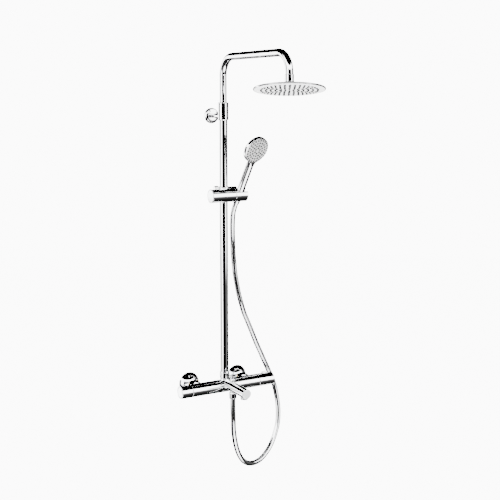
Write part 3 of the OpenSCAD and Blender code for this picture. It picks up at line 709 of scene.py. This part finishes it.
# Overhead shower: a slim round head with a plated back and rim, a pale spray plate pressed into it
# and soft nozzles that stand through the plate.
lean_angle = math.radians(9.5)
lean_side = math.radians(29)
lean = Matrix.Translation(ball) @ Matrix.Rotation(lean_angle, 4,
    Vector((-math.cos(lean_side), math.sin(lean_side), 0)))
hub_bore_r = 10.05
outline = [(-1, hub_bore_r, 0.2), (-1, 16.5, 0.2), (3.4, 16.5, 2.6), (6.5, 12.5, 1.5),
    (6.5, 9.3, 0.2)]
for k in range(8):
    a = math.radians(60 + 26 * k / 7)
    outline.append((hub_bore_r * math.cos(a), hub_bore_r * math.sin(a), 0))
outline = [p for p in outline if p[0] >= -1]
metal_piece("head_hub", turned(outline, (0, 0, 0), "Z", closed=True, sides=96, place=lean), chrome,
    "chrome_brass", "head", "head_socket")
head_r = 86.0
pan_bore_r = 10.3
outline = [(-1.05, pan_bore_r, 0), (-1.05, 16.4, 0.3), (-4.8, 17.2, 1.6), (-6.0, 24.0, 4.0),
    (-6.9, 70, 20), (-8.0, head_r - 1.0, 1.5), (-10.2, head_r, 1.2), (-12.0, head_r - 0.7, 0.5),
    (-12.0, 83.8, 0.2), (-8.2, 83.8, 0), (-8.2, 18, 0), (-10.5, 18, 0.2), (-10.5, 16, 0.2),
    (-9.3, 16, 0), (-9.3, 4.4, 0)]
for k in range(12):
    a = math.radians(155 - 59 * k / 11)
    outline.append((pan_bore_r * math.cos(a), pan_bore_r * math.sin(a), 0))
metal_piece("head_pan", turned(outline, (0, 0, 0), "Z", closed=True, sides=192, place=lean), chrome,
    "plated_plastic", "head", "head_back")
spray_white = worn_finish("spray_plate_white", (0.93, 0.93, 0.93), (0.90, 0.90, 0.905), 0,
    (0.22, 0.32), grain=25, depth=0.03)
nozzle_grey = worn_finish("nozzle_rubber", (0.022, 0.023, 0.025), (0.012, 0.013, 0.014),
    0, (0.6, 0.8), grain=80, depth=0.15)


def nozzle_spots(rings, pitch):
    """Radius and angle of each nozzle, in rings of six, twelve, eighteen and so on."""
    return [(ring * pitch, math.radians(60 * k / ring))
        for ring in range(1, rings + 1) for k in range(6 * ring)]


plate = turned([(-10.6, 0), (-10.6, 83.7, 0.2), (-12.0, 83.7, 0.3), (-12.15, 78, 4),
    (-12.25, 40, 0), (-12.25, 0)], (0, 0, 0), "Z", sides=192, place=lean)
metal_piece("spray_disc", plate, spray_white, "spray_face", "head", "spray_plate")
rubber = turned([(-10.55, 18.5, 0), (-10.55, 78, 0), (-10.05, 78, 0), (-10.05, 18.5, 0)], (0, 0, 0),
    "Z", closed=True, sides=96, place=lean)
for r, a in nozzle_spots(rings=6, pitch=11.2):
    turned([(-10.3, 0), (-10.3, 1.55, 0), (-12.1, 1.6, 0), (-12.1, 3.1, 0), (-12.6, 3.0, 0.15),
        (-13.0, 2.2, 0.2), (-15.2, 1.8, 0.3), (-15.2, 0.7, 0.1), (-14.6, 0.6, 0), (-14.6, 0)],
        (r * math.cos(a), r * math.sin(a), 0), "Z", sides=16, mesh=rubber, place=lean)
metal_piece("head_nozzles", rubber, nozzle_grey, "nozzle_silicone", "head", "nozzle_mat")


# Slider: a plated cross bar on the column with a nylon bush in it, an end disc on the left and a
# small knob behind it that locks the slider at its height.
cap_low, cap_high = span("slider_cap")
slider_y = (cap_low[1] + cap_high[1]) / 2
slider_z = (cap_low[2] + cap_high[2]) / 2
slider_r = 17.5
lock_z = slider_z + 17
end_r = (cap_high[2] - cap_low[2]) / 2
barrel = turned([(cap_low[0] + 2.05, 0), (cap_low[0] + 2.05, slider_r, 0.4), (19.0, slider_r, 0.5),
    (19.0, 0)], (0, slider_y, slider_z), "X", sides=160)
steps = [
    ("UNION", turned([(-15, 0), (-15, 15, 1.2), (22, 15, 1.2), (22, 0)], (0, bar_y, slider_z), "Z",
        sides=128)),
    ("UNION", turned([(0, 0), (0, 9, 0), (40, 9, 1.6), (40, 0)], (0, bar_y + 4, slider_z + 12), "X",
        sides=96)),
    ("DIFFERENCE", turned([(-40, 0), (-40, 13.25, 0), (40, 13.25, 0), (40, 0)],
        (0, bar_y, slider_z), "Z", sides=96)),
    ("DIFFERENCE", turned([(-60, 0), (-60, 13.5, 0), (-16, 13.5, 0), (-16, 0)],
        (0, slider_y, slider_z), "X", sides=96)),
    ("DIFFERENCE", turned([(-17, 0), (-17, 4.3, 0), (1, 4.3, 0), (1, 2.1, 0), (6.8, 2.1, 0),
        (6.8, 8.55, 0), (25, 8.55, 0), (25, 0)], (0, slider_y, slider_z), "X", sides=96)),
    ("DIFFERENCE", turned([(19.0, 0), (19.0, 18.0, 0), (60, 18.0, 0), (60, 0)],
        (0, slider_y, slider_z), "X", sides=96)),
    ("DIFFERENCE", turned([(-20, 0), (-20, 2.55, 0), (0, 2.55, 0), (0, 0)],
        (0, bar_y, lock_z), "X", sides=48))]
metal_piece("slider_bar", fitted(barrel, *steps), chrome, "plated_plastic", "slider", "slider_body")
left = cap_low[0]
disc = turned([(left + 7, 0), (left + 7, 13.4, 0.3), (left + 2, 13.4, 0), (left + 2, end_r, 0.3),
    (left + 0.5, end_r, 0.8), (left, end_r - 1.6, 0.5), (left + 0.35, end_r - 2.4, 0.3),
    (left + 0.1, 8, 8), (left + 0.02, 0)], (0, slider_y, slider_z), "X", sides=160)
metal_piece("slider_end", disc, chrome, "plated_plastic", "slider", "slider_cap")
low, high = span("lock_knob")
knob = turned([(low[0], 0), (low[0], 7.0, 1.0), (low[0] + 2, 8.0, 1.0), (-18, 8.0, 0.8),
    (-18, 2.5, 0.3), (high[0], 2.5, 0.3), (high[0], 0)], (0, bar_y, lock_z), "X", sides=96)
for v in knob.verts:
    out = Vector((0, v.co.y - bar_y, v.co.z - lock_z))
    if out.length > 7.4 and v.co.x < -18.4:
        turn = math.atan2(out.z, out.y)
        v.co -= out.normalized() * 0.28 * (0.5 + 0.5 * math.cos(16 * turn))
metal_piece("slider_lock", knob, chrome, "plated_plastic", "lock", "lock_knob")
dress(white_resin, "slider_bush")
black_rubber = worn_finish("black_rubber", (0.035, 0.035, 0.038), (0.02, 0.02, 0.022),
    0, (0.5, 0.7), grain=60, depth=0.2)
dress(black_rubber, "friction_washer")


# Handset holder: a plated barrel that swivels on the end of the slider, with a cone seat for the
# handset and a slot that lets the hose pass.
holder_end = span("swivel_holder")[1][0]
cone_x = 35.0
stand = (Matrix.Translation((cone_x, slider_y, slider_z)) @ Matrix.Rotation(math.radians(7), 4, "Y")
    @ Matrix.Rotation(math.radians(27), 4, "X"))
barrel = turned([(7.0, 0), (7.0, 8.5, 0.4), (19.7, 8.5, 0), (19.7, slider_r, 0.5),
    (holder_end, slider_r, 0.9), (holder_end, 0)], (0, slider_y, slider_z), "X", sides=160)


def cone_radius(s):
    """Radius of the cone seat, by the height along the handset."""
    return 8.6 + (s + 26) * 0.05


seat = turned([(-32, 0), (-32, cone_radius(-32) + 0.06, 0), (32, cone_radius(32) + 0.06, 0),
    (32, 0)], (0, 0, 0), "Z", sides=96, place=stand)
gap = bmesh.new()
bmesh.ops.create_cube(gap, size=1)
bmesh.ops.scale(gap, vec=(30, 15.8, 60), verts=gap.verts)
bmesh.ops.translate(gap, vec=(15, 0, 0), verts=gap.verts)
bmesh.ops.transform(gap, matrix=stand, verts=gap.verts)
pin = turned([(6, 0), (6, 1.8, 0), (18, 1.8, 0), (18, 0)], (0, slider_y, slider_z), "X", sides=48)
mouth = turned([(12, 0), (12, 11.6, 0), (32, 11.6, 0), (32, 0)], (0, 0, 0), "Z", sides=96,
    place=stand)
metal_piece("handset_holder", fitted(barrel, ("DIFFERENCE", seat), ("DIFFERENCE", mouth),
    ("DIFFERENCE", gap), ("DIFFERENCE", pin)), chrome, "plated_plastic", "holder", "swivel_holder")
dress(dull_steel, "swivel_screw")


# Cone nut: the plated end of the hose. It screws on to the handset, which turns on it, and its
# tapered side sits in the holder.
cone = turned([(-26, 4.5, 0.2), (-26, cone_radius(-26), 0.6), (14, cone_radius(14), 0.5),
    (14, 6.1, 0.3), (-2, 6.1, 0), (-2, 4.5, 0)], (0, 0, 0), "Z", closed=True, sides=96, place=stand)
metal_piece("hose_cone", cone, chrome, "chrome_brass", "cone", "cone_nut")


# Handset: a hollow plated shell whose round handle flows into a shallow round head, with a pale
# face plate clipped into the front and soft nozzles through it.
spin = stand @ Matrix.Rotation(math.radians(13), 4, "Z")
reach = 141.0
disc_r = 37.0
grip_r = 10.0
head_deep = 8.0
neck_from, neck_long = 94, 24


def soft_max(a, b, k):
    """The larger of two lengths, eased where they are alike."""
    h = max(k - abs(a - b), 0) / k
    return max(a, b) + h * h * k / 4


def eased(t):
    """From 0 to 1, slow at both ends."""
    t = min(max(t, 0), 1)
    return t * t * (3 - 2 * t)


stations = [14.3, 14.5, 15.0, 16.5, 20, 30, 45, 60, 75, 86, 93]
stations += range(98, 110)
angle_from = math.asin((110 - reach) / disc_r)
for k in range(49):
    a = angle_from + (math.radians(90) - angle_from) * k / 48
    stations.append(reach + disc_r * math.sin(a))
shell = bmesh.new()
rings = []
shell_sides = 96
for s in stations:
    away = (s - reach) / disc_r
    chord = disc_r * math.sqrt(max(0, 1 - away * away)) if abs(away) < 1 else 0
    handle = grip_r if s < reach else 0
    if s < 16:
        handle = grip_r - 0.5 * (1 - min(1, (s - 14.3) / 1.2)) ** 2
    wide = soft_max(handle, chord, 9.0) if s < reach else chord
    into = eased((s - neck_from) / neck_long)
    dome = math.sqrt(max(0, 1 - away * away)) if abs(away) < 1 else 0
    back = grip_r * (1 - into) + (3.5 + 5.5 * dome) * into
    front = grip_r * (1 - into) + head_deep * into
    if s > reach + disc_r - 2:
        front = head_deep - 0.6 * (1 - math.sqrt(max(0, 1 - ((s - reach - disc_r + 2) / 2) ** 2)))
    if s < 16:
        back = front = handle
    front_n = 2 + 7 * into
    back_n = 2 + 0.5 * into
    ring = []
    for k in range(shell_sides):
        a = 2 * math.pi * k / shell_sides
        n = back_n if math.sin(a) >= 0 else front_n
        c, d = math.cos(a), math.sin(a)
        x = wide * math.copysign(abs(c) ** (2 / n), c)
        y = (back if d >= 0 else front) * math.copysign(abs(d) ** (2 / n), d)
        ring.append(shell.verts.new(spin @ Vector((x, y, s))))
    rings.append(ring)
skin_rings(shell, rings)
shell.faces.new(rings[0])
shell.faces.new(rings[-1])
bmesh.ops.remove_doubles(shell, verts=shell.verts, dist=0.01)
bmesh.ops.dissolve_degenerate(shell, edges=shell.edges, dist=0.005)
face_place = spin @ Matrix.Translation((0, 0, reach))
recess = turned([(-12, 0), (-12, 34.45, 0), (-4.5, 34.45, 0), (-4.5, 0)], (0, 0, 0), "Y", sides=160,
    place=face_place)
stub = turned([(0.6, 4.95, 0.2), (0.6, 6.04, 0.3), (16, 6.04, 0), (16, 4.95, 0)], (0, 0, 0), "Z",
    closed=True, sides=64, place=spin)
metal_piece("handset_body", fitted(shell, ("DIFFERENCE", recess), ("UNION", stub)), chrome,
    "plated_plastic", "handset", "handset_shell")
face = turned([(-5.2, 0), (-5.2, 34.3, 0.2), (-8.3, 34.3, 0.5), (-9.0, 33.0, 1.0), (-9.05, 20, 0),
    (-9.05, 0)], (0, 0, 0), "Y", sides=160, place=face_place)
pale_grey = worn_finish("handset_plate_grey", (0.27, 0.267, 0.265), (0.22, 0.218, 0.216), 0,
    (0.2, 0.32), grain=40, depth=0.03)
metal_piece("handset_plate", face, pale_grey, "spray_face", "handset", "handset_face")
tips = turned([(-5.0, 0), (-5.0, 33, 0), (-5.15, 33, 0), (-5.15, 0)], (0, 0, 0), "Y", sides=96,
    place=face_place)
for r, a in nozzle_spots(rings=4, pitch=7.8):
    turned([(-8.8, 0), (-8.8, 3.0, 0), (-9.3, 2.9, 0.1), (-9.6, 1.9, 0.2), (-10.2, 1.4, 0.15),
        (-10.2, 0.5, 0.1), (-9.7, 0.4, 0), (-9.7, 0)], (r * math.sin(a), 0, r * math.cos(a)), "Y",
        sides=16, mesh=tips, place=face_place)
metal_piece("handset_tips", tips, nozzle_grey, "nozzle_silicone", "handset", "handset_nozzles")
blue_resin = worn_finish("blue_resin", (0.05, 0.07, 0.22), (0.04, 0.05, 0.16), 0, (0.3, 0.45))
dress(blue_resin, "flow_regulator")


# Studio: a plain pale floor well below the shower, and a white room with dark flags above and
# behind the camera, which give the plate its dark lines.
ground = bmesh.new()
rings = []
for r in (0.5, 4, 9):
    rings.append([ground.verts.new((r * math.cos(a), r * math.sin(a), 0))
        for a in (2 * math.pi * k / 64 for k in range(64))])
skin_rings(ground, rings)
ground.faces.new(rings[0])
bmesh.ops.translate(ground, vec=(0, 0, -1.1), verts=ground.verts)
bmesh.ops.recalc_face_normals(ground, faces=ground.faces)
data = bpy.data.meshes.new("floor")
ground.to_mesh(data)
ground.free()
floor = bpy.data.objects.new("floor", data)
bpy.context.scene.collection.objects.link(floor)
floor.visible_glossy = False
floor.visible_diffuse = False
pale, shader = plain_finish("pale_floor", 0, 0.8)[:2]
shader.inputs["Base Color"].default_value = (0.95, 0.95, 0.95, 1)
shader.inputs["Emission Color"].default_value = (1, 1, 1, 1)
shader.inputs["Emission Strength"].default_value = 3.6
data.materials.append(pale)

room = bpy.data.worlds.new("studio")
bpy.context.scene.world = room
room.use_nodes = True
room.node_tree.nodes.clear()
wire = node_adder(room.node_tree)
white = (1, 1, 1, 1)


def ramp(value, stops):
    """Greys by a value from 0 to 1, one at each stop."""
    node = wire("ValToRGB", [("Fac", value)])
    node.color_ramp.interpolation = "LINEAR"
    while len(node.color_ramp.elements) < len(stops):
        node.color_ramp.elements.new(0.5)
    for element, (place, grey) in zip(node.color_ramp.elements, stops):
        element.position = place
        element.color = (grey, grey, grey, 1)
    return node.outputs["Color"]


def by_height(*stops):
    """Stops given in degrees above the horizon."""
    return [((math.sin(math.radians(degrees)) + 1) / 2, grey) for degrees, grey in stops]


def by_bearing(*stops):
    """Stops given in degrees to either side of straight ahead."""
    return [((180 + degrees) / 360, grey) for degrees, grey in stops]


def bright_spot(light, way, begin, full, amount):
    """A white spot in one direction, over what the room gives there."""
    facing = wire("VectorMath", [(0, sky), (1, way)], operation="DOT_PRODUCT")
    facing = wire("MapRange", [("Value", facing.outputs["Value"]), ("From Min", begin),
        ("From Max", full), ("To Max", amount)])
    return wire("Mix", [("Factor", facing.outputs[0]), ("A", light.outputs["Result"]),
        ("B", white)], data_type="RGBA")


sky = wire("TexCoord").outputs["Generated"]
way = wire("SeparateXYZ", [("Vector", sky)])
up = wire("MapRange", [("Value", way.outputs["Z"]), ("From Min", -1), ("From Max", 1)])
near = ramp(up.outputs[0], by_height((-90, 0.001), (-50, 0.002), (-36, 0.008), (-20, 0.03),
    (-18, 0.3), (-14, 1), (34, 1), (35, 0.0), (90, 0.0)))
far = ramp(up.outputs[0], by_height((-90, 0.001), (-30, 0.002), (-14, 0.006), (-10, 0.05), (-6, 1),
    (9, 1), (10, 0.0), (90, 0.0)))
room_ahead = (0.489, 0.872, 0)
room_across = (0.872, -0.489, 0)
ahead = wire("VectorMath", [(0, sky), (1, room_ahead)], operation="DOT_PRODUCT")
behind = wire("MapRange", [("Value", ahead.outputs["Value"]), ("From Min", 0.0),
    ("From Max", 0.15)])
sides = wire("Mix", [("Factor", behind.outputs[0]), ("A", near), ("B", far)], data_type="RGBA")
across = wire("VectorMath", [(0, sky), (1, room_across)], operation="DOT_PRODUCT")
bearing = wire("Math", [(0, across.outputs["Value"]), (1, ahead.outputs["Value"])],
    operation="ARCTAN2")
turn = wire("MapRange", [("Value", bearing.outputs[0]), ("From Min", -math.pi),
    ("From Max", math.pi)])
walls = ramp(turn.outputs[0], by_bearing(
    (-180, 0.0), (-143, 0.0), (-141, 1), (-114, 1), (-110, 0.016), (-74, 0.016), (-70, 1), (-42, 1),
    (-38, 0.05), (0, 0.05), (4, 0.02), (106, 0.02), (112, 1), (128, 1), (130, 0.0), (180, 0.0)))
under = ramp(up.outputs[0], by_height((-90, 0.001), (-60, 0.004), (-42, 0.012), (-22, 0.03),
    (-11, 0.05), (-8, 1), (90, 1)))
right_side = ramp(turn.outputs[0], by_bearing((90, 0), (98, 1), (130, 1), (135, 0)))
sides = wire("Mix", [("Factor", right_side), ("A", sides.outputs["Result"]), ("B", under)],
    data_type="RGBA", blend_type="DARKEN")
level = wire("MapRange", [("Value", way.outputs["Z"]), ("From Min", 0.34), ("From Max", 0.26)])
floor_level = wire("MapRange", [("Value", way.outputs["Z"]), ("From Min", -0.50),
    ("From Max", -0.42)])
banded = wire("Math", [(0, level.outputs[0]), (1, floor_level.outputs[0])], operation="MULTIPLY")
flagged = wire("Mix", [("Factor", banded.outputs[0]), ("A", white), ("B", walls)],
    data_type="RGBA")
flagged = wire("Mix", [("Factor", 1.0), ("A", sides.outputs["Result"]),
    ("B", flagged.outputs["Result"])], data_type="RGBA", blend_type="MULTIPLY")
flagged = bright_spot(flagged, (-0.048, -0.641, -0.766), 0.90, 0.915, 0.8)
flagged = bright_spot(flagged, (-0.44, 0.848, -0.295), 0.986, 0.990, 1.0)
ray = wire("LightPath")
shiny = wire("Background", [("Color", flagged.outputs["Result"]), ("Strength", 8.0)])
soft = wire("Background", [("Color", white), ("Strength", 8.0)])
paper = wire("Background", [("Color", white), ("Strength", 11.0)])
lit = wire("MixShader", [("Fac", ray.outputs["Is Glossy Ray"]), (1, soft.outputs[0]),
    (2, shiny.outputs[0])])
seen = wire("MixShader", [("Fac", ray.outputs["Is Camera Ray"]), (1, lit.outputs[0]),
    (2, paper.outputs[0])])
wire("OutputWorld", [("Surface", seen.outputs[0])])
